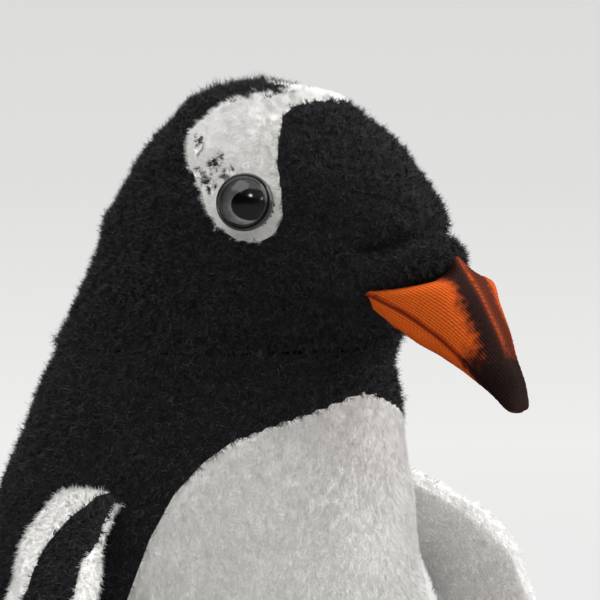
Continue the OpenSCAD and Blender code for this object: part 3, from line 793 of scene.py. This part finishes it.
def build_head():
    cloths = two_tone("head", HEAD, -bonnet_distance(HEAD[..., 2], HEAD_ANGLE),
                      kept=eye_gap(HEAD[:-1]) > EYE_R - 0.5)
    for piece in cloths:
        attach(piece, "head")
    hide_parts("right_head_panel", "left_head_panel", "crown_panel",
                "forehead_panel", "muzzle_panel", "chin_panel", "head_stuffing",
                "right_eye_washer", "left_eye_washer")
    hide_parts("bonnet_panel")
    in_bonnet = bonnet_distance(HEAD[:-1, :, 2], HEAD_ANGLE[:-1]) < 0.5
    standing = np.where(in_bonnet, 1, 0.4)
    standing[:2] = 0
    pile = Pile(HEAD, HEAD_ROOTS, 12, share=standing)
    angle = round_angle(pile, HEAD_ANGLE)
    free = ~in_beak(pile.root[:, 2], angle, -0.3) & (eye_gap(pile.root) > EYE_R - 0.1)
    pile.keep(free)
    root, angle = pile.root, angle[free]
    height = root[:, 2]
    edge = bonnet_distance(height, angle) + 0.3 * waves(root, 3, 23) + 0.2 * waves(root, 1.4, 24)
    is_white = (edge < 0) & ~speckled(root, height, angle)
    back = np.stack([sin(angle) * 0.4, -cos(angle) * 0.3 + 0.8, -0.35 + 0 * angle], -1)
    short = 0.45 + 0.55 * np.clip((eye_gap(root) - EYE_R) / 2, 0, 1)
    short *= 1 - 0.65 * near(crease_distance(height, angle), 1.8) * (np.abs(angle) < 44)
    short *= np.where(is_white, 1, 0.55 + 0.45 * np.clip(edge / 1.5, 0, 1))
    short *= np.where(in_beak(height, angle, 1.6), 0.6, 1)
    for name, chosen in (("bonnet", is_white), ("head", ~is_white)):
        part = pile.pick(chosen)
        if name == "bonnet":
            way = part.direction(back[chosen] * 0.5 - Z * 0.2, 0.85, 0.16, 2.4, 0.13, 43)
            made = straight_hairs("bonnet_pile", part, way, 1.35 * short[chosen], 0.034,
                                  WHITE_FIBRE, 53)
        else:
            crown = np.clip((height[chosen] - 293) / 3, 0, 1) * (np.abs(angle[chosen]) > 60)
            at_seam = near(part.root[:, 2:] - NECK_SEAM, 2.5)
            long = 1.95 + 0.7 * crown + 0.4 * waves(part.root, 2.4, 45)
            lay = back[chosen] * 0.3 - Z * 0.7 * at_seam
            way = part.direction(lay, 0.9, 0.8, 1.7, 0.22, 44)
            long = long * (1 + 0.35 * at_seam[:, 0])
            made = curly_hairs("head_pile", part, way, long * short[chosen], 0.048,
                               BLACK_FIBRE, 54)
        for tuft in made:
            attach(tuft, "head")


build_torso()
build_head()

# ---- beak

RIB_PITCH = 0.76
STITCH = 0.9  # length of a loop of the knit
BEAK_GRID = 186, 520


def beak_columns(turn):
    """The beak's outline points for each turn: 0 is the ridge, 90 the left corner."""
    a = BEAK_HALF_ANGLE * sin(turn)
    c, s = np.abs(cos(turn)), np.abs(sin(turn))
    top = cos(turn) > 0
    z = np.where(top, lookup(np.abs(a), BEAK_TOP), lookup(np.abs(a), BEAK_BOTTOM))
    rows = [skin(station(z), a)]
    rise = np.where(top, c ** 0.8, c)
    wide = np.where(top, s ** 0.65 * (1 + 0.35 * c * s), s) * np.sign(sin(turn))
    for middle, ridge, keel, half in zip(MOUTH, RIDGE, KEEL, BEAK_HALF_WIDTH):
        yz = middle + (np.where(top[:, None], ridge, keel) - middle) * rise[:, None]
        rows.append(np.concatenate([(half * wide)[:, None], yz], 1))
    centre = rows[-1].mean(0)
    rows.append(centre + (rows[-1] - centre) * 0.15 + [0, -0.4, -0.5])
    return np.stack(rows)


def build_beak():
    rows, columns = BEAK_GRID
    turn = turns(columns)
    stations = len(MOUTH) + 1
    grid = along(beak_columns(turn), np.linspace(0, stations, rows))
    middle = grid.mean(1, keepdims=True)
    grid = grid + (middle - grid) * np.linspace(0.03, 0, rows)[:, None, None]
    step = np.linalg.norm(np.roll(grid, -1, 1) - grid, axis=-1)
    row_step = np.linalg.norm(np.diff(grid, axis=0, prepend=grid[:1]), axis=-1)
    run = np.cumsum(step, 1) - step
    girth = step.sum(1)[:, None]
    quarter = columns // 4
    left = turn < 180
    from_ridge = np.where(left, run, run - girth)
    from_mouth = np.where(left, run - run[:, quarter:quarter + 1],
                          run[:, 3 * quarter:3 * quarter + 1] - run)
    ribs = np.abs(np.sin(np.pi * from_mouth / RIB_PITCH)) ** 0.7
    t = np.linspace(0, 1, rows)[:, None]
    mouth = near(from_mouth, 0.42) * np.clip((0.86 - t) * 6, 0, 1)
    fade = np.clip((0.9 - t) * 5, 0, 1)
    stitch = np.abs(np.sin(np.pi * np.cumsum(row_step, 0) / STITCH))
    relief = (0.2 * ribs + 0.07 * stitch) * fade - 0.6 * mouth + 0.2 * waves(grid, 9, 61) * t
    grid = grid + grid_normals(grid) * relief[..., None]
    soot = soot_map(t, from_ridge, grid)
    soot = np.clip(1.5 * soot - (1 - ribs) * (1 - 0.5 * soot) * 1.1, 0, 1)
    # groove is painted shade: darker in the rib grooves, between stitches and in the crease of the
    # mouth line
    groove = np.clip(((1 - ribs) * 0.9 + (1 - stitch) * 0.25) * fade + mouth * 1.8, 0, 1)
    piece = grid_object("beak_knit", grid, soot=soot, groove=groove)
    show(piece, knit_material())
    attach(piece, "head")
    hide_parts("beak_upper", "beak_lower", "beak_stuffing")


def soot_map(t, from_ridge, grid):
    """How black the airbrushed print is: a broad band on the right of the ridge, and the tip."""
    ragged = 0.5 * waves(grid, 1.6, 62) + 0.5 * waves(grid, 5, 63)
    right = 0.85 * np.clip((9.2 + 0.6 * ragged + from_ridge) / 4, 0, 1) * (from_ridge < 0)
    left = 0.64 * np.clip((8.6 + 0.6 * ragged - from_ridge) / 4, 0, 1) * (from_ridge >= 0)
    seam = 1 - 0.35 * near(from_ridge, 1.3)
    tip = np.clip((t - 0.46) * 6 + 0.12 * ragged, 0, 0.9)
    return np.clip(np.maximum(np.maximum(right, left) * seam, tip), 0, 1)


def knit_material():
    made = material("beak_knit_cloth", (0.58, 0.09, 0.01), 0.9, Specular_IOR_Level=0.1)
    tree = made.node_tree
    print_colour = ramp(tree, field_of(tree, "soot"), [(0.0, (0.78, 0.135, 0.012)),
                                                       (0.5, (0.2, 0.03, 0.006)),
                                                       (1.0, (0.007, 0.003, 0.002))])
    # painted shade: the groove field darkens the print in the knit's grooves and in the mouth
    # crease
    groove = field_of(tree, "groove")
    paint(tree, mixed(tree, groove, print_colour, (0.2, 0.08, 0.05, 1), "MULTIPLY"))
    bumpy(tree, noise(tree, 3.2), 0.5, 0.12)
    return made


build_beak()

# ---- eyes


def dish(name, centre, out, front, profile, closed):
    """A piece turned about the line out of the eye, open at its first ring.

    profile rows are radius, height, shift to the toy's front, and how much wider than tall.
    """
    up = np.cross(out, front)
    up = up * np.sign(up[2])
    turn = turns(96) * np.sign(np.cross(front, up) @ out)
    rings = []
    for r, height, shift, stretch in profile:
        ring = front * (cos(turn) * stretch)[:, None] + up * (sin(turn) / stretch)[:, None]
        rings.append(centre + ring * r + out * height + front * shift - up * 0.2 * shift)
    return grid_object(name, np.stack(rings), (False, closed))


def rounded(points):
    """A smooth profile through a few points, each made up to four numbers."""
    full = np.array([(list(p) + [0, 1])[:4] if len(p) == 2 else p for p in points], float)
    return along(full, np.linspace(0, len(full) - 1, (len(full) - 1) * 6 + 1))


def iris_material():
    """Grey painted bowl with fine streaks."""
    made = material("eye_iris", (0.2, 0.2, 0.2), 0.4)
    tree = made.node_tree
    paint(tree, ramp(tree, noise(tree, 0.9), [(0.3, (0.1, 0.1, 0.1)), (0.7, (0.21, 0.205, 0.2))]))
    return made


def clear_dome_material():
    """Clear plastic: it lets what is under it show and takes sharp reflections."""
    made = bpy.data.materials.new("eye_clear_dome")
    made.use_nodes = True
    tree = made.node_tree
    tree.nodes.remove(tree.nodes["Principled BSDF"])
    gloss = add_node(tree, "BsdfGlossy", Color=(0.75, 0.75, 0.75, 1), Roughness=0.03)
    clear = add_node(tree, "BsdfTransparent", Color=(0.85, 0.85, 0.85, 1))
    edge = add_node(tree, "Fresnel", IOR=1.35)
    mix = add_node(tree, "MixShader", Fac=edge.outputs["Fac"])
    tree.links.new(clear.outputs[0], mix.inputs[1])
    tree.links.new(gloss.outputs[0], mix.inputs[2])
    tree.links.new(mix.outputs[0], tree.nodes["Material Output"].inputs["Surface"])
    return made


def plastic(name, colour, roughness):
    """Moulded plastic with faint unevenness."""
    made = material(name, colour, roughness, Coat_Weight=0.3)
    bumpy(made.node_tree, noise(made.node_tree, 0.8), 0.05, 0.05)
    return made


def build_eyes():
    iris, clear = iris_material(), clear_dome_material()
    dark = plastic("eye_black", (0.006, 0.006, 0.007), 0.25)
    rim = rounded([(5.5, -2.2), (5.9, -1), (6.05, 0.3), (6.0, 0.9), (5.7, 1.15),
                   (5.1, 0.95, -0.1, 1), (4.75, 0.5, -0.2, 1)])
    # black of the pupil, spread over painted shade beside it as well
    pupil_and_painted_shade = material("eye_pupil", (0.002, 0.002, 0.002), 0.9, Specular_IOR_Level=0)
    bowl = rounded([(4.9, 0.7, -0.25, 1), (4.75, 0, -0.1, 1), (4.5, -0.9, 0.1, 1.02),
                    (4.2, -1.6, 0.4, 1.06), (3.6, -2, 0.7, 1.14)])
    # Drawn large, wider than tall and shifted 0.8 mm to the toy's front: past a round pupil this
    # black is painted shade for the dark backing seen through the dome.
    pupil = rounded([(3.75, -2.1, 0.8, 1.15), (3.7, -1.75, 0.8, 1.15), (2.6, -1.5, 0.8, 1.15),
                     (1.3, -1.4, 0.8, 1.15), (0.15, -1.4, 0.8, 1.15)])
    dome = rounded([(5.5, 0.8), (5.3, 1.7), (4.5, 2.8), (3.0, 3.7), (1.4, 4.15), (0.15, 4.25)])
    for side, word in ((-1, "right"), (1, "left")):
        centre, out = eye_frame(side)
        front = unit(np.cross(Z, out)) * -side
        for name, profile, look in (("rim", rim, dark), ("iris", bowl, iris),
                                    ("pupil", pupil, pupil_and_painted_shade), ("dome", dome, clear)):
            piece = dish(f"{word}_eye_{name}", centre, out, front, profile, name != "rim")
            show(piece, look)
            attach(piece, "head")
            if name == "dome":
                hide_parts(f"{word}_eye")


build_eyes()

# ---- flippers

WALL_TURN = 38  # how far round the front edge the lining comes, below the root
FLIPPER_GRID = 180, 208


def flipper_ring(s, phase):
    """Points of the left flipper's section at s; phase 0 is the front edge, 90 the outside."""
    row = along(FLIPPER, s)
    last = len(FLIPPER) - 1
    ahead = along(FLIPPER, np.minimum(s + 0.1, last))
    behind = along(FLIPPER, np.maximum(s - 0.1, 0))
    front, rear, share = row[:, :3], row[:, 3:6], row[:, 6]
    down = unit(ahead[:, :3] - behind[:, :3] + ahead[:, 3:6] - behind[:, 3:6])
    out = unit(np.cross(front - rear, down))
    half = FLIPPER_T / 2 * share[:, None] - 1
    bulge = 0.35 + half * np.abs(sin(phase)) ** (0.65 - 0.15 * cos(phase))
    inner = (front - rear)[:, None] * (0.5 + 0.46 * cos(phase))[None, :, None]
    return rear[:, None] + inner + out[:, None] * (np.sign(sin(phase)) * bulge)[..., None]


def build_flippers():
    sides = 48
    phase = 360 - (np.arange(sides) + 0.5) * 360 / sides
    coarse = flipper_ring(np.linspace(0, len(FLIPPER) - 1, 56), phase)
    coarse = np.concatenate([(coarse[0] - 5 * X + 0.5 * Z)[None], coarse])
    pinned = np.broadcast_to(near(sin(phase), 0.2), coarse.shape[:2]).copy()
    pinned[:3] = 1
    rows, columns = FLIPPER_GRID
    fine = stuffed("flipper_sim", coarse, pinned, 1.2, FLIPPER_GRID, pressure=3.0)
    phase = np.mod(360 - (np.arange(columns) * sides / columns + 0.5) * 360 / sides, 360)
    run = np.linspace(0, 1, rows)[:, None]
    fine = fine + grid_normals(fine) * 0.25 * waves(fine, 16, 71)[..., None]
    band = (lookup(run, BAND) - 0.5 - 0.5 * cos(phase)) * 24
    mm = 60 / 360  # length of cloth for a degree of phase
    for word, start in (("left", -0.1), ("right", 0.19)):
        turn = WALL_TURN * np.clip((run - start) / 0.07, 0, 1)
        wall = np.where(phase < 180, turn - phase, np.minimum(phase - 180, 360 + turn - phase))
        inside = np.maximum(np.where(phase < 180, band, -9), wall * mm)
        grid = fine - grid_normals(fine) * 0.4 * near(wall * mm, 0.8)[..., None]
        if word == "right":
            grid, inside = (grid * [-1, 1, 1])[:, ::-1], inside[:, ::-1]
        build_flipper(word, grid, inside)


def build_flipper(word, grid, inside):
    body = f"{word}_flipper"

    def joined(p):
        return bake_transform(p)

    cloths = two_tone(body, grid, inside)
    for piece in cloths:
        joined(piece)
    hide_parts(f"{body}_outer", f"{body}_pad")
    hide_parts(f"{body}_band", f"{body}_lining")
    pile = Pile(grid, FLIPPER_ROOTS, 13)
    is_white = pile.read(inside)[:, 0] + 0.35 * waves(pile.root, 3, 25) > 0
    combed = unit(grid[-1].mean(0) - grid[10].mean(0))
    for name, chosen in (("white", is_white), ("black", ~is_white)):
        part = pile.pick(chosen)
        lay = np.broadcast_to(combed, part.root.shape)
        if name == "white":
            way = part.direction(lay * 0.9, 0.8, 0.25, 2.6, 0.18, 45)
            made = straight_hairs(f"{body}_white_pile", part, way, 1.6, 0.065, WHITE_FIBRE, 55)
        else:
            way = part.direction(lay * 0.6, 0.8, 0.7, 2.0, 0.3, 48)
            made = curly_hairs(f"{body}_black_pile", part, way, 1.8, 0.07, BLACK_FIBRE, 58)
        for tuft in made:
            joined(tuft)


build_flippers()

# ---- feet and tail


SMALL_PHASE = (np.arange(40) + 0.5) * 360 / 40
SMALL_GRID = 90, 120
SOLE_LEVEL = 2.2  # height of the seam between the sole and the upper


def build_feet():
    last = len(FOOT) - 1
    phase = SMALL_PHASE
    s = np.linspace(0, last, 30)
    row = along(FOOT, s)
    width, share, y = row[:, 0] - 0.8, row[:, 1], row[:, 2]
    top = (FOOT_T * share - 3.2)[:, None] * np.maximum(sin(phase), 0) ** 0.8
    bottom = 1.1 * np.maximum(-sin(phase), 0) ** 0.5
    x = width[:, None] * cos(phase) * -1
    toes = np.clip((s / last - 0.55) / 0.45, 0, 1)[:, None]
    cleft = near(np.abs(cos(phase)) - 0.36, 0.1)[None] * toes
    forward = 2.2 * toes * (0.5 + 0.5 * np.cos(np.pi * 3 * cos(phase)))[None]
    z = SOLE_LEVEL + top * (1 - 0.5 * cleft) - bottom[None]
    y = np.broadcast_to(y[:, None], x.shape) - forward + 1.6 * toes
    grid = np.stack([FOOT_X + x, y, z], -1)
    heel = grid[0] + [0, 7, 1.5]
    coarse = np.concatenate([heel[None], grid])[:, ::-1]
    pinned = np.zeros(coarse.shape[:2])
    pinned[:2] = 1
    pinned = np.maximum(pinned, near(coarse[..., 2] - SOLE_LEVEL, 0.8))
    fine = stuffed("foot_sim", coarse, pinned, 0.9, SMALL_GRID, pressure=3.0)
    fine = fine + grid_normals(fine) * (0.2 * waves(fine, 9, 72))[..., None]
    fine[..., 2] = np.maximum(fine[..., 2], 0.7)
    for side, word in ((1, "left"), (-1, "right")):
        grid = fine * np.array([side, 1, 1])
        if side < 0:
            grid = grid[:, ::-1]
        body = f"{word}_foot"
        piece = grid_object(f"{word}_foot_cloth", grid)
        show(piece, ORANGE_CLOTH)
        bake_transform(piece)
        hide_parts(*(f"{body}_{n}" for n in ("upper", "sole", "stuffing")))
        pile = Pile(grid, SMALL_ROOTS, 14, share=(grid[:-1, :, 2] > 1.0).astype(float))
        way = pile.direction(np.broadcast_to(-Y, pile.root.shape) * 0.7, 0.9, 0.3, 2.5, 0.25, 46)
        for tuft in straight_hairs(f"{word}_foot_pile", pile, way, 1.1, 0.075, ORANGE_FIBRE, 56):
            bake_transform(tuft)


def build_tail():
    last = len(TAIL) - 1
    phase = SMALL_PHASE
    row = along(TAIL, np.linspace(0, last, 26))
    width, share, y, mid = (row[:, k][:, None] for k in range(4))
    high = TAIL_T / 2 * share * np.abs(sin(phase)) ** 0.8
    x = (width - 0.8) * cos(phase)[None]
    grid = np.stack([x, np.broadcast_to(y, x.shape), mid + np.sign(sin(phase)) * high], -1)
    root = grid[0] + [0, -7, 3]
    coarse = np.concatenate([root[None], grid])[:, ::-1]
    pinned = np.broadcast_to(near(np.abs(sin(phase)), 0.25)[::-1], coarse.shape[:2]).copy()
    pinned[:2] = 1
    fine = stuffed("tail_sim", coarse, pinned, 0.9, SMALL_GRID, pressure=3.0)
    piece = grid_object("tail_cloth", fine)
    show(piece, BLACK_CLOTH)
    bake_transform(piece)
    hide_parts("tail_upper", "tail_lining", "tail_stuffing")
    pile = Pile(fine, SMALL_ROOTS, 15)
    way = pile.direction(np.broadcast_to(Y, pile.root.shape) * 0.6, 0.7, 0.7, 2.2, 0.3, 47)
    for tuft in curly_hairs("tail_pile", pile, way, 2.2, 0.09, BLACK_FIBRE, 57):
        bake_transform(tuft)


build_feet()
build_tail()

# ---- stage, light and camera


def build_stage():
    """Pale paper with painted shade: dark near the toy against the lamps' pool, darker far away as
    the light falls off.
    """
    bpy.ops.mesh.primitive_circle_add(vertices=96, radius=16, fill_type="NGON")
    floor = bpy.context.object
    floor.name = "floor"
    look = material("floor_paper_painted_shade", (0.75, 0.75, 0.75), 0.9, Specular_IOR_Level=0)
    tree = look.node_tree
    far = maths(tree, "LENGTH", place_of(tree), kind="VectorMath")
    # painted shade: darkest within 0.8 m of the toy, lightest at 2.5 m, a little darker beyond
    paint(tree, ramp(tree, share_of(tree, far, 0, 10), [(0.08, (0.52, 0.52, 0.52)),
                                                        (0.25, (0.7, 0.7, 0.695)),
                                                        (0.5, (0.64, 0.64, 0.635)),
                                                        (1.0, (0.62, 0.62, 0.615))]))
    floor.data.materials.append(look)


SKY_MEAN, SKY_SLOPE, SKY_LEAST = 0.26, 1.6, 0.1  # above the horizon
SKY_LOW = 0.715  # at the horizon and below it
SKY_SIDE = (0.55, -0.15, 0.82)


def build_sky():
    """A studio all round: bright above and to the toy's left, dimmer before its right side."""
    world = bpy.data.worlds.new("studio")
    bpy.context.scene.world = world
    world.use_nodes = True
    tree = world.node_tree
    shine = tree.nodes["Background"]
    way = add_node(tree, "TexCoord").outputs["Generated"]
    toward = maths(tree, "DOT_PRODUCT", way, Vector(SKY_SIDE).normalized(),
                   kind="VectorMath")
    upper = maths(tree, "MULTIPLY_ADD", toward, SKY_SLOPE, SKY_MEAN)
    upper = maths(tree, "MAXIMUM", upper, SKY_LEAST)
    parts = add_node(tree, "SeparateXYZ", Vector=way)
    mix = add_node(tree, "Mix")
    rise = share_of(tree, parts.outputs["Z"], 0.03, 0.2)
    for socket, value in ((0, rise), (2, SKY_LOW), (3, upper)):
        feed(tree, mix.inputs[socket], value)
    tree.links.new(mix.outputs[0], shine.inputs["Color"])
    shine.inputs["Strength"].default_value = 1.0


def softbox(name, way, distance, size, power, only_shine=False):
    """A square lamp some way off from the head, facing it; lengths in metres.

    only_shine keeps its light to glossy reflections.
    """
    head = Vector((0, -0.02, 0.25))
    light = bpy.data.lights.new(name, "AREA")
    light.size = size
    light.energy = power
    lamp = in_scene(name, light)
    lamp.visible_diffuse = not only_shine
    lamp.location = head + Vector(way).normalized() * distance
    lamp.rotation_euler = (head - lamp.location).to_track_quat("-Z", "Y").to_euler()


CAMERA_AZIMUTH = -55
CAMERA_ELEVATION = 4
CAMERA_DISTANCE = 1600
VIEW_WIDTH = 126
AIM = np.array([20.0, 251.6])  # across the view and up it, from the origin
HEAD_DEPTH = -29


def build_camera():
    right = np.array([cos(CAMERA_AZIMUTH), sin(CAMERA_AZIMUTH), 0])
    level = np.array([-sin(CAMERA_AZIMUTH), cos(CAMERA_AZIMUTH), 0])
    ahead = level * cos(CAMERA_ELEVATION) - Z * sin(CAMERA_ELEVATION)
    up = level * sin(CAMERA_ELEVATION) + Z * cos(CAMERA_ELEVATION)
    aim = right * AIM[0] + up * AIM[1] + ahead * HEAD_DEPTH
    data = bpy.data.cameras.new("camera")
    data.sensor_width = 36
    data.lens = data.sensor_width * CAMERA_DISTANCE / VIEW_WIDTH
    data.clip_start, data.clip_end = 0.05, 60
    camera = in_scene("camera", data)
    camera.location = (aim - ahead * CAMERA_DISTANCE) * MM
    camera.rotation_euler = Vector(ahead).to_track_quat("-Z", "Y").to_euler()
    bpy.context.scene.camera = camera


build_stage()
build_sky()
softbox("key", (0.62, -0.62, 0.48), 1.6, 1.3, 19)
softbox("top", (-0.5, 0.15, 0.85), 1.4, 1.0, 12)
softbox("side_spark", (-0.719, -0.504, 0.54), 1.0, 0.12, 5, only_shine=True)
softbox("front_spark", (-0.055, -0.946, 0.361), 1.0, 0.12, 2, only_shine=True)
build_camera()
bpy.context.scene.view_settings.view_transform = "Standard"
